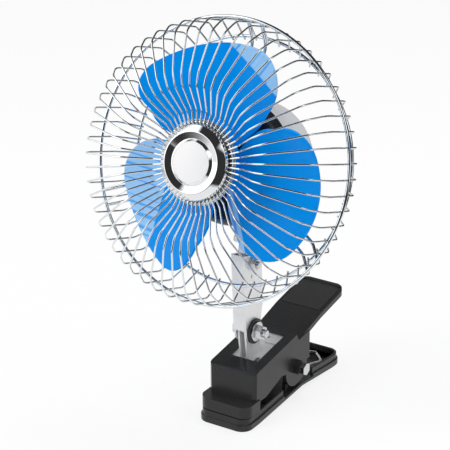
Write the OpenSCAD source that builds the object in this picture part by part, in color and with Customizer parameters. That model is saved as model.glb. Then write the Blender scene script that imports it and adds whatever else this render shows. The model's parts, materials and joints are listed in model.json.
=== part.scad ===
// Clip-on car fan: wire guard, three-blade impeller, motor head on a channel stem, spring clamp.
// Origin on the clamp's front sole, +Z up, the fan blows toward -Y.

/* [Guard] */
// Radius of the main hoop's wire centre
hoop_r = 100; // [90:1:110]
// Radius of the hoop wire
hoop_wire = 1.2; // [0.9:0.1:1.5]
// Radius of the rib wire
rib_wire = 0.65; // [0.5:0.05:1]
// Number of ribs
rib_n = 57; // [48:3:60]
// Radius where the ribs start at the badge
rib_in_r = 26; // [25:0.5:27]
// How far the rib ends at the badge lie before the hoop
rib_in_y = 32.5; // [30:0.5:34]
// Radius where the ribs bend forward, after the flat at the badge
flat_r = 35; // [33:0.5:38]
// Radius where the front swells most, inner bend
swell_r1 = 52; // [48:1:55]
// Radius where the front swells most, outer bend
swell_r2 = 61; // [58:1:66]
// How far the front swells before the hoop
swell_y = 43.4; // [40:0.2:46]
// Radius where the front bends to the drum
shoulder_r = 89.5; // [85:0.5:91]
// How far that bend lies before the hoop
shoulder_y = 32.5; // [30:0.5:35]
// Half depth of the drum at the front
drum_front = 20; // [16:1:22]
// Half depth of the drum at the rear
drum_rear = 14.5; // [12:0.5:18]
// Radius of the rear ring
rear_ring_r = 85; // [80:1:90]
// How far the rear ring lies behind the hoop
rear_ring_y = 28; // [24:1:32]
// Radius of the strut wire
strut_wire = 1.1; // [0.9:0.1:1.3]
// Angle of the first strut and of the rib before it
strut_at = 86; // [72:1:96]

/* [Impeller] */
// Radius of the blades
blade_r = 82; // [70:1:84]
// Angle from a blade's middle to its front edge
blade_lead = 43; // [36:1:48]
// Angle from a blade's middle to its rear edge
blade_trail = 56; // [46:1:58]
// Radius of the outer corner at the front edge
lead_corner = 20; // [10:1:22]
// Radius of the outer corner at the rear edge
trail_corner = 27; // [10:1:28]
// Bow of the front edge, in degrees at half its length
lead_bow = 8; // [0:0.5:9]
// Bow of the rear edge, in degrees at half its length
trail_bow = 4; // [0:0.5:6]
// Pitch of the blades
blade_pitch = 13.5; // [8:0.5:15]
// Radius that the blades are dished to
blade_dish = 120; // [100:5:300]
// Blade thickness
blade_t = 1.8; // [1.2:0.1:2.4]
// Angle of the first blade, seen from the front
blade_at = 109; // [90:1:120]
// Radius of the impeller's hub
hub_r = 16; // [14:0.5:18]
// Length of the impeller's hub
hub_len = 16; // [14:0.5:18]
// Radius of the shaft
shaft_r = 2.5; // [2:0.1:3]

/* [Motor] */
// Radius of the black front cap
cap_r = 45; // [42:0.5:46]
// Distance of the front cap behind the hoop
cap_y = 8; // [7:0.5:10]
// Length of the front cap
cap_len = 12; // [11:0.5:14]
// Rounding of the front cap's edge
cap_round = 8; // [3:0.5:9]
// Radius of the rear housing
shell_r = 43; // [39:0.5:44]
// Length of the rear housing
shell_len = 42; // [41:0.5:48]
// Rounding of the housing's rear edge
shell_round = 9; // [5:0.5:11]
// Wall of the rear housing
shell_wall = 2.2; // [1.6:0.1:2.8]
// Radius of the steel motor can
can_r = 31; // [29:0.5:34]

/* [Badge] */
// Radius of the centre badge
badge_r = 26.5; // [24:0.5:26.5]
// Radius of the badge's inner disc
badge_disc_r = 15; // [13:0.5:16]
// Depth of the badge from its rim to its front
badge_deep = 5.8; // [5:0.2:7]

/* [Stem and neck] */
// Distance between the two stem bolts
stem_len = 55; // [45:1:70]
// Outer width of the channel
stem_w = 10.8; // [9.5:0.1:12.5]
// Channel depth before the bolts
stem_front = 11.2; // [10:0.1:13]
// Channel depth behind the bolts
stem_back = 14; // [11:0.5:16]
// Sheet thickness of the channel
sheet = 1.5; // [1.2:0.1:1.8]
// Forward lean of the stem
stem_lean = 3.5; // [0:0.5:8]
// Upward tilt of the fan's axis
head_tilt = 17.2; // [8:0.1:25]
// Height of the fan's axis over the tilt bolt
neck_h = 74; // [72:1:82]
// Distance of the swivel post behind the hoop
swivel_y = 57; // [55:0.5:59]
// Radius of the swivel pin
swivel_r = 4; // [3.5:0.1:5]
// Radius of the tilt bolt
tilt_bolt_r = 2.5; // [2:0.1:3]
// Radius of the lower pivot bolt
pivot_bolt_r = 3; // [2.5:0.1:3.2]

/* [Clamp] */
// Length of the clamp's base
base_len = 136; // [126:1:150]
// How far the base and the lip reach out before that length
nose = 4.5; // [0:0.5:6]
// Width of the clamp's base
base_w = 43; // [42:0.5:50]
// Height of the base's rim
rim_h = 9.5; // [8.5:0.5:9.5]
// Wall and floor of the base
base_t = 3; // [2.5:0.1:3.5]
// Rise of the base's underside at the hinge
arch = 4.5; // [3:0.1:5]
// Height of the ledge round the base
ledge_h = 5; // [4:0.5:6]
// Width of the ledge round the base
ledge = 1.2; // [0.6:0.1:1.4]
// Corner radius of the base
base_corner = 9; // [6:0.5:12]
// Width of the lever between its outer faces
lever_w = 40; // [39:0.5:41]
// Chamfer of the lever's front corners
front_cut = 3.2; // [2:0.1:3.4]
// Wall of the lever
lever_t = 2.5; // [2:0.1:2.8]
// Height of the hinge
hinge_z = 23.3; // [22.8:0.1:26]
// Distance of the hinge behind the base's middle
hinge_y = 1; // [-2:0.5:4]
// Radius of the lever's round ears
ear_r = 15.2; // [13:0.1:15.5]
// Radius of the hinge bolt
hinge_r = 3; // [2.5:0.1:3.5]
// Length of the handle behind the hinge
handle_len = 75; // [60:1:85]
// Length of the handle before its crease
handle_root = 36; // [28:1:42]
// Slope of the handle before its crease
root_slope = 15.5; // [12:0.5:18]
// Slope of the handle's grip
grip_slope = 10.7; // [8:0.1:14]
// Distance of the lower stem bolt before the base's middle
pivot_y = 37; // [34:0.5:37]
// Height of the lower stem bolt
pivot_z = 65; // [63:0.5:75]
// Half the width of the window in the lever
window_w = 12; // [11:0.5:13]

/* [Spring] */
// Radius of the spring wire
spring_wire = 0.9; // [0.7:0.05:1]
// Radius of the spring's coils
spring_r = 6; // [5.5:0.1:7]
// Full turns on each side
spring_turns = 3; // [2:1:4]

/* [Fits] */
// Radial clearance of a turning shaft or pin
run_fit = 0.05; // [0.03:0.01:0.1]
// Clearance between faces that move past each other
slide_gap = 0.4; // [0.3:0.05:0.6]
// Clearance between pieces that are seated on each other
seat = 0.05; // [0.02:0.01:0.1]

/* [Hidden] */
$fn = 64;

black = "#2b2b2d";
chrome = "#d5d8dc";
steel = "#b9bcc0";
blue = "#0a84e0";
rubber = "#1d1d1f";
brass = "#b08d57";

function unit(v) = v / norm(v);
function polar(r, a) = [r * cos(a), r * sin(a)];

// Bent wires: a polyline whose inner corners are rounded by arcs
function bearing(v) = atan2(v[1], v[0]);
function wrap(a) = a > 180 ? a - 360 : a < -180 ? a + 360 : a;
function turn(p, i) = wrap(bearing(p[i + 1] - p[i]) - bearing(p[i] - p[i - 1]));
function arc_points(p, i, fillet, steps) =
  let (
    t = turn(p, i),
    d = unit(p[i] - p[i - 1]),
    start = p[i] - d * fillet * tan(abs(t) / 2),
    centre = start + sign(t) * fillet * [-d[1], d[0]],
    a0 = bearing(start - centre)
  )
  [for (k = [0:steps]) centre + polar(fillet, a0 + t * k / steps)];
function bent(p, fillet, steps) = [
  p[0],
  for (i = [1:len(p) - 2], q = arc_points(p, i, fillet[i - 1], steps[i - 1])) q,
  p[len(p) - 1]
];

// Tubes of six sides along a path of points
sides = 6;
function tangent(p, i) = unit(p[min(i + 1, len(p) - 1)] - p[max(i - 1, 0)]);
function square_to(n, t) = unit(n - (n * t) * t);
function normals(p, n0) = [
  for (i = 0, n = square_to(n0, tangent(p, 0)); i < len(p);
       i = i + 1, n = i < len(p) ? square_to(n, tangent(p, i)) : n) n
];
function tube_points(p, r, n0) = let (ns = normals(p, n0)) [
  for (i = [0:len(p) - 1], k = [0:sides - 1])
    let (t = tangent(p, i), n = ns[i], b = cross(t, n))
    p[i] + r * (cos(k * 360 / sides) * n + sin(k * 360 / sides) * b)
];
function tube_faces(count, base) = concat(
  [for (i = [0:count - 2], k = [0:sides - 1])
    let (a = base + i * sides, m = (k + 1) % sides) [a + k, a + sides + m, a + m]],
  [for (i = [0:count - 2], k = [0:sides - 1])
    let (a = base + i * sides, m = (k + 1) % sides) [a + k, a + sides + k, a + sides + m]],
  [for (k = [1:sides - 2]) [base, base + k, base + k + 1]],
  [for (k = [1:sides - 2]) let (e = base + (count - 1) * sides) [e, e + k + 1, e + k]]
);
module tubes(paths, r, n0) {
  count = len(paths[0]);
  polyhedron(
    [for (j = [0:len(paths) - 1], q = tube_points(paths[j], r, n0[j])) q],
    [for (j = [0:len(paths) - 1], f = tube_faces(count, j * count * sides)) f]
  );
}

// Turned shapes and rods along the fan's axis, +Y to the rear, or across it
module spin_y(points) rotate([-90, 0, 0]) rotate_extrude() polygon(points);
module rod_y(r, y0, y1) translate([0, y0, 0]) rotate([-90, 0, 0]) cylinder(r = r, h = y1 - y0);
module ring_y(r_out, r_in, y0, y1) difference() {
  rod_y(r_out, y0, y1);
  rod_y(r_in, y0 - 1, y1 + 1);
}
module wire_ring(r, wire, y) translate([0, y, 0]) rotate([-90, 0, 0]) rotate_extrude()
  translate([r, 0]) circle(r = wire);
module rod_x(r, x0, x1) translate([x0, 0, 0]) rotate([0, 90, 0]) cylinder(r = r, h = x1 - x0);
module hex_x(r, x0, x1) translate([x0, 0, 0]) rotate([0, 90, 0]) cylinder(r = r, h = x1 - x0, $fn = 6);
module ring_x(r_out, r_in, x0, x1) difference() {
  rod_x(r_out, x0, x1);
  rod_x(r_in, x0 - 1, x1 + 1);
}
module nut_x(r_out, r_in, x0, x1) difference() {
  hex_x(r_out, x0, x1);
  rod_x(r_in, x0 - 1, x1 + 1);
}
// A side outline in Y and Z, made solid from x0 to x1
module slab_x(x0, x1) translate([x0, 0, 0]) rotate([90, 0, 90]) linear_extrude(x1 - x0) children();
module both_sides() {
  children();
  mirror([1, 0, 0]) children();
}

// Places of the moving groups at rest, the clamp's own places counted from the base's middle
base_half = base_len / 2;
sole_len = 14;
sole_y = base_half - sole_len / 2;
module on_base() translate([0, sole_y, 0]) children();
module on_hinge() translate([0, hinge_y, hinge_z]) children();
module on_pivot() translate([0, -pivot_y, pivot_z]) children();
module on_stem() on_base() on_pivot() rotate([stem_lean, 0, 0]) children();
module on_neck() on_stem() translate([0, 0, stem_len]) rotate([-head_tilt - stem_lean, 0, 0]) children();
module on_head() on_neck() translate([0, -swivel_y, neck_h]) children();
function turn_x(v, a) = [v[0], v[1] * cos(a) - v[2] * sin(a), v[1] * sin(a) + v[2] * cos(a)];
hinge_at = [0, sole_y + hinge_y, hinge_z];
pivot_at = [0, sole_y - pivot_y, pivot_z];
tilt_at = pivot_at + turn_x([0, 0, stem_len], stem_lean);
head_at = tilt_at + turn_x([0, -swivel_y, neck_h], -head_tilt);
echo(hinge_at = hinge_at, pivot_at = pivot_at, tilt_at = tilt_at, head_at = head_at);
echo(spin_axis = turn_x([0, -1, 0], -head_tilt), swivel_axis = turn_x([0, 0, 1], -head_tilt));

// Guard
rib_r = hoop_r - hoop_wire - rib_wire - seat;
rib_line = [
  [rib_in_r, -rib_in_y], [flat_r, -rib_in_y], [swell_r1, -swell_y], [swell_r2, -swell_y],
  [shoulder_r, -shoulder_y], [rib_r, -drum_front], [rib_r, drum_rear], [rear_ring_r, rear_ring_y]
];
rib_path = bent(rib_line, [6, 8, 12, 12, 6, 5], [1, 1, 1, 1, 1, 2]);
rib_tail = unit(rib_line[7] - rib_line[6]);
rib_over = 1.5;
weld = rib_wire + hoop_wire + seat;
hub_ring_at = [rib_in_r + rib_over, -rib_in_y + weld];
rear_ring_at = rib_line[7] - rib_over * rib_tail + weld * [rib_tail[1], -rib_tail[0]];
strut_half = rib_r * sin(180 / rib_n);
cap_end = cap_y + cap_len;
strut_y = cap_end - 3.5;
screw_y = strut_y - strut_wire - 2;
strut_line = [
  [cap_r + strut_wire + seat, strut_y], [rear_ring_r - 1, drum_rear + 2],
  [hoop_r, hoop_wire + strut_wire + seat]
];
strut_leg = bent(strut_line, [10], [2]);
// One strut: out along a leg, back along the other, the bend at the motor
strut_bend = 2;
strut_legs = [
  strut_leg[0] + strut_bend * unit(strut_leg[1] - strut_leg[0]),
  for (i = [1:len(strut_leg) - 1]) strut_leg[i]
];
strut_cross = strut_half - strut_bend;
strut_path = concat(
  [for (i = [len(strut_legs) - 1:-1:0]) [strut_legs[i][0], strut_legs[i][1], strut_half]],
  [for (side = [1, -1]) [strut_leg[0][0], strut_leg[0][1], side * strut_cross]],
  [for (q = strut_legs) [q[0], q[1], -strut_half]]
);
function about_y(v, a) = [v[0] * cos(a) - v[2] * sin(a), v[1], v[0] * sin(a) + v[2] * cos(a)];
function rib_turn(k) = strut_at + k * 360 / rib_n;

module guard_ribs() color(chrome) on_head() tubes(
  [for (k = [0:rib_n - 1]) [for (q = rib_path) about_y([q[0], q[1], 0], rib_turn(k))]],
  rib_wire,
  [for (k = [0:rib_n - 1]) about_y([0, 0, 1], rib_turn(k))]
);
module guard_hoop() color(chrome) on_head() wire_ring(hoop_r, hoop_wire, 0);
module guard_rear_ring() color(chrome) on_head() wire_ring(rear_ring_at[0], hoop_wire, rear_ring_at[1]);
module guard_hub_ring() color(chrome) on_head() wire_ring(hub_ring_at[0], hoop_wire, hub_ring_at[1]);
module guard_struts() color(chrome) on_head() tubes(
  [for (a = [0:120:240]) [for (q = strut_path) about_y(q, strut_at + a)]],
  strut_wire,
  [for (a = [0:120:240]) about_y([0, 1, 0], strut_at + a)]
);
module strut_places() for (a = [0:120:240])
  rotate([0, -strut_at - a, 0]) translate([0, screw_y, 0]) children();
strut_screw_r = 1.5;
module strut_screws() color(steel) on_head() strut_places() {
  rod_x(strut_screw_r, cap_r - 3, cap_r + 2 * strut_wire + 3 * seat);
  rod_x(strut_half - strut_wire - 0.3, cap_r + 2 * strut_wire + 2 * seat, cap_r + 2 * strut_wire + 2.4);
}

// Badge: a coned cap before the rib ends, held by a plate and a screw from behind
badge_rim_y = -rib_in_y - rib_wire - seat;
badge_front_y = badge_rim_y - badge_deep;
badge_boss_r = 5;
badge_back_y = hub_ring_at[1] + hoop_wire + seat;
badge_back_t = 1.4;
badge_screw_r = 1.5;
badge_sink = 1.2;
badge_lip = 1;
badge_flange = 1.8;
badge_wall = 3.2;
cone_r0 = badge_disc_r + 2 * badge_lip;
cone_r2 = badge_r - badge_flange;
cone_r1 = (cone_r0 + cone_r2) / 2;
cone_h = 3.2;
module badge_cap() color(chrome) on_head() difference() {
  union() {
    spin_y([
      [0, badge_front_y + badge_sink], [badge_disc_r, badge_front_y + badge_sink],
      [badge_disc_r, badge_front_y], [badge_disc_r + badge_lip, badge_front_y],
      [badge_disc_r + badge_lip, badge_front_y + badge_lip / 2],
      [cone_r0, badge_front_y + badge_lip / 2], [cone_r1, badge_front_y + cone_h / 2],
      [cone_r2, badge_front_y + cone_h], [badge_r, badge_rim_y - badge_flange / 2],
      [badge_r, badge_rim_y], [cone_r2, badge_rim_y],
      [badge_disc_r, badge_front_y + badge_wall], [0, badge_front_y + badge_wall]
    ]);
    rod_y(badge_boss_r, badge_front_y + badge_sink + 1, badge_back_y);
  }
  rod_y(badge_screw_r + seat, badge_front_y + badge_wall, badge_back_y + 1);
}
module badge_disc() color(steel) on_head()
  rod_y(badge_disc_r - seat, badge_front_y + 0.3, badge_front_y + badge_sink - seat);
module badge_back() color(steel) on_head()
  ring_y(hub_ring_at[0] + 2, badge_screw_r + seat, badge_back_y + seat, badge_back_y + seat + badge_back_t);
module badge_screw() color(steel) on_head() {
  rod_y(badge_screw_r, badge_front_y + badge_wall + seat, badge_back_y + badge_back_t + 1);
  rod_y(2 * badge_screw_r, badge_back_y + badge_back_t + 2 * seat, badge_back_y + badge_back_t + 1.6);
}

// Impeller: hub and three pitched, dished petals with bowed edges and round outer corners
blade_mid = 0;
hub_y = -14;
blade_in = hub_r - 2;
function corner_turn(corner) = asin(corner / (blade_r - corner));
function edge_reach(corner) = sqrt(pow(blade_r - corner, 2) - pow(corner, 2));
function blade_edge(corner, a, bow) = [
  for (s = [0:0.125:0.875]) polar(blade_in + (edge_reach(corner) - blade_in) * s, a + 4 * bow * s * (1 - s))
];
trail_a = 90 - blade_trail + corner_turn(trail_corner);
lead_a = 90 + blade_lead - corner_turn(lead_corner);
lead_edge = blade_edge(lead_corner, 90 + blade_lead, lead_bow);
petal = concat(
  blade_edge(trail_corner, 90 - blade_trail, -trail_bow),
  [for (a = [-90:15:0]) polar(blade_r - trail_corner, trail_a) + polar(trail_corner, trail_a + a)],
  [for (k = [1:11]) polar(blade_r, trail_a + (lead_a - trail_a) * k / 12)],
  [for (a = [0:15:90]) polar(blade_r - lead_corner, lead_a) + polar(lead_corner, lead_a + a)],
  [for (i = [len(lead_edge) - 1:-1:0]) lead_edge[i]]
);
module blade() intersection() {
  translate([0, blade_mid + blade_r / 2, 0]) rotate([90, 0, 0]) linear_extrude(blade_r) polygon(petal);
  translate([0, blade_mid, 0]) rotate([0, 0, blade_pitch]) translate([0, -blade_dish, 0]) difference() {
    cylinder(r = blade_dish + blade_t / 2, h = blade_r + 1);
    translate([0, 0, -1]) cylinder(r = blade_dish - blade_t / 2, h = blade_r + 3);
  }
}
module impeller() color(blue) on_head() difference() {
  union() {
    rod_y(hub_r, hub_y, hub_y + hub_len);
    for (a = [0:120:240]) rotate([0, 90 - blade_at - a, 0]) blade();
  }
  rod_y(shaft_r + seat, hub_y - 1, hub_y + hub_len + 1);
}
nut_t = 3.5;
nut_r = 5;
module blade_nut() color(steel) on_head() difference() {
  translate([0, hub_y - seat - nut_t, 0]) rotate([-90, 0, 0]) cylinder(r = nut_r, h = nut_t, $fn = 6);
  rod_y(shaft_r + seat, hub_y - nut_t - 1, hub_y);
}

// Motor, from the front cap to the rear bearing, and the post of the swivel under it
neck_top = 18;
seat_low = 14;
pin_up = neck_h - shell_r - neck_top - 1;
bearing_r = 6.5;
bearing_t = 5;
cap_wall = 3;
side_wall = 5;
can_wall = 1.5;
can_y = cap_y + cap_wall + seat;
can_end = cap_end + shell_len - shell_wall - 5;
shell_end = cap_end + shell_len;
core_r = can_r - 6;
magnet_out = can_r - can_wall - seat;
magnet_in = core_r + 0.8;
core_y = can_y + 9;
core_len = 14;
winding_r = 0.8 * core_r;
winding_in = 0.22 * core_r;
winding_t = 0.16 * core_r;
comm_y = core_y + core_len + winding_t + 1;
comm_len = 6;
comm_r = 7;
brush_y = comm_y + 1;
brush_h = 4;
brush_w = 5;
brush_len = 8;
brush_gap = 0.3;
cap_arc = [for (a = [-90:15:0]) [cap_r - cap_round, cap_y + cap_round] + polar(cap_round, a)];
module motor_cap() color(black) on_head() difference() {
  spin_y(concat([[0, cap_y]], cap_arc, [
    [cap_r, cap_end], [cap_r - side_wall, cap_end], [cap_r - side_wall, cap_y + cap_round],
    [cap_r - side_wall - cap_wall, cap_y + cap_wall], [bearing_r + 3, cap_y + cap_wall],
    [bearing_r + 3, cap_y + bearing_t + 1], [0, cap_y + bearing_t + 1]
  ]));
  rod_y(shaft_r + 1, cap_y - 1, cap_y + bearing_t + 2);
  rod_y(bearing_r + seat, cap_y + 1, cap_y + bearing_t + 2);
  strut_places() rod_x(strut_screw_r + seat, cap_r - 3.2, cap_r + 1);
}
module front_bearing() color(brass) on_head()
  ring_y(bearing_r, shaft_r + run_fit, cap_y + 1 + seat, cap_y + 1 + bearing_t);
boss_low = neck_h - neck_top - slide_gap;
boss_r = 10;
shell_in = shell_r - shell_wall;
round_in = shell_round - shell_wall;
shell_arc = [for (a = [0:15:90]) [shell_r - shell_round, shell_end - shell_round] + polar(shell_round, a)];
shell_arc_in = [for (a = [90:-15:0]) [shell_r - shell_round, shell_end - shell_round] + polar(round_in, a)];
grommet_r = 3.5;
grommet_z = -20;
module motor_housing() color("#c9cbce") on_head() difference() {
  union() {
    spin_y(concat(
      [[0, shell_end]], [for (i = [len(shell_arc) - 1:-1:0]) shell_arc[i]],
      [[shell_r, cap_end + seat], [shell_in, cap_end + seat]],
      [for (i = [len(shell_arc_in) - 1:-1:0]) shell_arc_in[i]], [[0, shell_end - shell_wall]]
    ));
    translate([0, swivel_y, -boss_low]) cylinder(r = boss_r, h = boss_low - shell_in + 1.5);
  }
  translate([0, swivel_y, -boss_low - 1]) cylinder(r = swivel_r + run_fit, h = pin_up + 1.6);
  translate([0, 0, grommet_z]) rod_y(grommet_r + seat, shell_end - 2 * shell_wall, shell_end + 1);
}
module cord_grommet() color(black) on_head() translate([0, 0, grommet_z]) {
  ring_y(grommet_r, 1.6, shell_end - shell_wall - 1, shell_end + 1.2);
  ring_y(grommet_r + 1.2, 1.6, shell_end + seat, shell_end + 1.2);
}
module motor_can() color(steel) on_head() difference() {
  rod_y(can_r, can_y, can_end);
  rod_y(can_r - can_wall, can_y - 1, can_end - bearing_t - 2);
  rod_y(bearing_r + seat, can_y, can_end - 1);
  rod_y(shaft_r + 1, can_y, can_end + 1);
}
module rear_bearing() color(brass) on_head()
  ring_y(bearing_r, shaft_r + run_fit, can_end - 1 - bearing_t, can_end - 1 - seat);
module magnets() color("#4a4a4e") on_head() for (a = [-70, 110])
  translate([0, core_y - 2, 0]) rotate([-90, 0, 0]) rotate([0, 0, a]) rotate_extrude(angle = 140)
    translate([magnet_in, 0]) square([magnet_out - magnet_in, core_len + 4]);
plate_y = brush_y + brush_h + seat;
plate_t = 1.5;
module brush_plate() color("#7a4a2a") on_head() ring_y(magnet_out, comm_r + 1.5, plate_y, plate_y + plate_t);
module brushes() color("#3a3a3c") on_head() both_sides()
  translate([comm_r + brush_gap, brush_y, -brush_w / 2]) cube([brush_len, brush_h, brush_w]);
module shaft() color(steel) on_head() rod_y(shaft_r, hub_y - nut_t - 1, can_end - 1 - seat - 0.5);
module armature() color("#55585c") on_head() ring_y(core_r, shaft_r + seat, core_y, core_y + core_len);
module windings() color("#b4632f") on_head() {
  ring_y(winding_r, winding_in, core_y - winding_t, core_y - seat);
  ring_y(winding_r, winding_in, core_y + core_len + seat, core_y + core_len + winding_t);
}
module commutator() color("#b87333") on_head() ring_y(comm_r, shaft_r + seat, comm_y, comm_y + comm_len);

// Neck: a tongue in the channel, a round seat over it and the swivel pin
tongue_r = 7;
tongue_half = stem_w / 2 - sheet - slide_gap;
module neck() color("#4b4d50") on_neck() difference() {
  union() {
    rod_x(tongue_r, -tongue_half, tongue_half);
    translate([-tongue_half, -tongue_r, 0]) cube([2 * tongue_half, 2 * tongue_r, seat_low + 0.5]);
    translate([0, 0, seat_low]) cylinder(r = boss_r + 1, h = neck_top - seat_low);
  }
  rod_x(tilt_bolt_r + run_fit, -stem_w, stem_w);
  translate([0, 0, seat_low]) cylinder(r = swivel_r + seat, h = neck_top);
}
module swivel_pin() color(steel) on_neck() translate([0, 0, seat_low + seat])
  cylinder(r = swivel_r, h = neck_top - seat_low + pin_up);

// Stem: a channel open to the rear, cut away at the bottom of its web and sloped at the top
web_low = 4;
top_front = 10;
top_back = 1.5;
foot_r = 9;
bend_r = 2;
stem_slot = 2.6;
stem_slot_w = 1.4;
stem_slot_at = 12;
half_w = stem_w / 2;
module channel_plan() difference() {
  union() {
    translate([-half_w, -stem_front + bend_r]) square([stem_w, stem_front + stem_back - bend_r]);
    translate([-half_w + bend_r, -stem_front]) square([stem_w - 2 * bend_r, stem_front + stem_back]);
    for (side = [-1, 1]) translate([side * (half_w - bend_r), -stem_front + bend_r]) circle(r = bend_r);
  }
  translate([-half_w + sheet, -stem_front + sheet]) square([stem_w - 2 * sheet, stem_front + stem_back]);
}
module channel_side() {
  polygon([
    [-stem_front - 1, web_low], [-stem_front - 1, stem_len + top_front], [-stem_front, stem_len + top_front],
    [stem_back, stem_len + top_back], [stem_back, 2 * foot_r], [foot_r, 0], [-foot_r, 0], [-foot_r, web_low]
  ]);
  circle(r = foot_r);
}
module stem_channel() color(chrome) on_stem() difference() {
  intersection() {
    translate([0, 0, -foot_r - 1]) linear_extrude(stem_len + top_front + foot_r + 2) channel_plan();
    slab_x(-stem_w, stem_w) channel_side();
  }
  rod_x(pivot_bolt_r + run_fit, -stem_w, stem_w);
  translate([0, 0, stem_len]) rod_x(tilt_bolt_r + seat, -stem_w, stem_w);
  translate([0, -stem_slot_w / 2, stem_len - stem_slot_at]) cube([stem_w, stem_slot_w, stem_slot]);
}
washer_t = 1.2;
tilt_nut_t = 4;
tilt_hex = 4.6;
tilt_head_t = 3.5;
tilt_washer_r = 5;
module on_tilt_bolt() on_stem() translate([0, 0, stem_len]) children();
module tilt_bolt() color(steel) on_tilt_bolt() {
  rod_x(tilt_bolt_r, -half_w - 1, half_w + washer_t + tilt_nut_t + 2);
  hex_x(tilt_hex, -half_w - tilt_head_t, -half_w - seat);
}
module tilt_washer() color(steel) on_tilt_bolt()
  ring_x(tilt_washer_r, tilt_bolt_r + seat, half_w + seat, half_w + washer_t);
module tilt_nut() color(steel) on_tilt_bolt()
  nut_x(tilt_hex, tilt_bolt_r + seat, half_w + washer_t + seat, half_w + washer_t + tilt_nut_t);

// Lower stem joint on the bracket's two ears
disc_t = 2;
disc_r = 9.5;
pivot_nut_t = 5;
pivot_hex = 5.6;
pivot_head_t = 4;
pivot_washer_r = 7.5;
spacer_r = 5;
side_x = half_w + slide_gap;
nut_x0 = side_x + disc_t + washer_t;
module pivot_bolt() color(steel) on_base() on_pivot() {
  rod_x(pivot_bolt_r, -side_x - 1, nut_x0 + pivot_nut_t + 3);
  hex_x(pivot_hex, -side_x - pivot_head_t, -side_x);
}
module pivot_disc() color(black) on_base() on_pivot()
  ring_x(disc_r, pivot_bolt_r + seat, side_x, side_x + disc_t);
module pivot_washer() color(steel) on_base() on_pivot()
  ring_x(pivot_washer_r, pivot_bolt_r + seat, side_x + disc_t + seat, nut_x0);
module pivot_nut() color(steel) on_base() on_pivot()
  nut_x(pivot_hex, pivot_bolt_r + seat, nut_x0 + seat, nut_x0 + pivot_nut_t);
ear_out = half_w - sheet - slide_gap;
ear_in = ear_out - sheet;
module pivot_spacer() color(steel) on_base() on_pivot()
  ring_x(spacer_r, pivot_bolt_r + seat, -ear_in + seat, ear_in - seat);

// Upper jaw: lip, front wall, sloped top with a window, side ears and handle
top_y = -base_half + 14;
top_z = 41.6;
top_slope = 8.3;
top_len = (hinge_y - top_y) / cos(top_slope);
front_y = -base_half + 9.5;
front_lean = 1.3;
window_from = (-pivot_y - 5 - top_y) / cos(top_slope);
window_to = top_len - 3;
lip_low = rim_h + 0.5;
lip_h = 9;
lip_y = -base_half - nose + 2;
lip_len = 14 + nose;
wall_low = lip_low + lip_h - 2;
lip_w = base_w - 1;
lip_corner = 8;
lever_half = lever_w / 2;
handle_y = hinge_y + 1;
handle_z = 43;
handle_t = 4;
handle_w = lever_w - 1;
handle_corner = 8;
hinge_boss = 4.5;
hinge_boss_r = 5.5;
function top_line(y) = [y, top_z + (y - top_y) * tan(top_slope)];
function top_under(y) = top_line(y) - [0, lever_t / cos(top_slope)];
top_end = top_line(hinge_y);
module on_top() translate([0, top_y, top_z]) rotate([top_slope, 0, 0]) children();
grip_len = handle_len - handle_root;
crease = [handle_y, handle_z] + polar(handle_root, root_slope);
grip_end = crease + polar(grip_len, grip_slope);
pad_in = 3;
pad_rise = 0.5;
end_rim = 3;
rim_rise = 1.2;
module rounded(w, l, r) {
  translate([-w / 2 + r, 0]) square([w - 2 * r, l]);
  translate([-w / 2, r]) square([w, l - 2 * r]);
  for (x = [-1, 1], y = [r, l - r]) translate([x * (w / 2 - r), y]) circle(r = r);
}
arch_r = 7;
pad_w = 30;
pad_y = -base_half - nose + base_t + 1;
pad_len = sole_len + nose - base_t - 1;
pad_t = 1.5;
rivet_r = 1.2;
rivet_in = 1.5;
rivet_x = 14.6;
plate_half = 16;
bracket_from = window_from - 4.5;
bracket_to = top_len - lever_t - 0.3;
module rivet_places() for (x = [-rivet_x, rivet_x], y = [bracket_from + 3, bracket_to - 4])
  translate([x, y, 0]) children();
module lever_side() difference() {
  union() {
    polygon([
      [front_y, wall_low], [front_y + front_lean, top_z - lever_t], [top_y, top_z], top_end,
      [handle_y + 2, handle_z + 1], [hinge_y + 19, handle_z + 3], [hinge_y + 19, hinge_z],
      [hinge_y - 17, hinge_z], [hinge_y - 21, hinge_z + 1], [hinge_y - 43, wall_low]
    ]);
    translate([hinge_y, hinge_z]) circle(r = ear_r);
  }
  translate([hinge_y - 21, hinge_z + 0.5 - arch_r]) circle(r = arch_r);
}
module lever_top() polygon([
  [front_y, wall_low], [front_y + front_lean, top_z - lever_t], [top_y, top_z], top_end,
  [handle_y + 2, handle_z + 0.6], [handle_y - 0.5, handle_z - handle_t + 1], top_under(hinge_y - lever_t),
  top_under(top_y + 1), [front_y + front_lean + lever_t, top_z - 2 * lever_t], [front_y + lever_t, wall_low]
]);
module handle_side(low, high) polygon([
  [handle_y, handle_z + high], crease + [0, high], grip_end + [0, high],
  grip_end + [0, low], crease + [0, low], [handle_y, handle_z + low]
]);
module handle_plan(inset) translate([0, handle_y - 2 * handle_corner + inset]) rounded(
  handle_w - 2 * inset, grip_end[0] - handle_y + 2 * handle_corner - 2 * inset, handle_corner - inset
);
module handle_up() translate([0, 0, handle_z - 2 * handle_t]) linear_extrude(handle_len) children();
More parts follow.
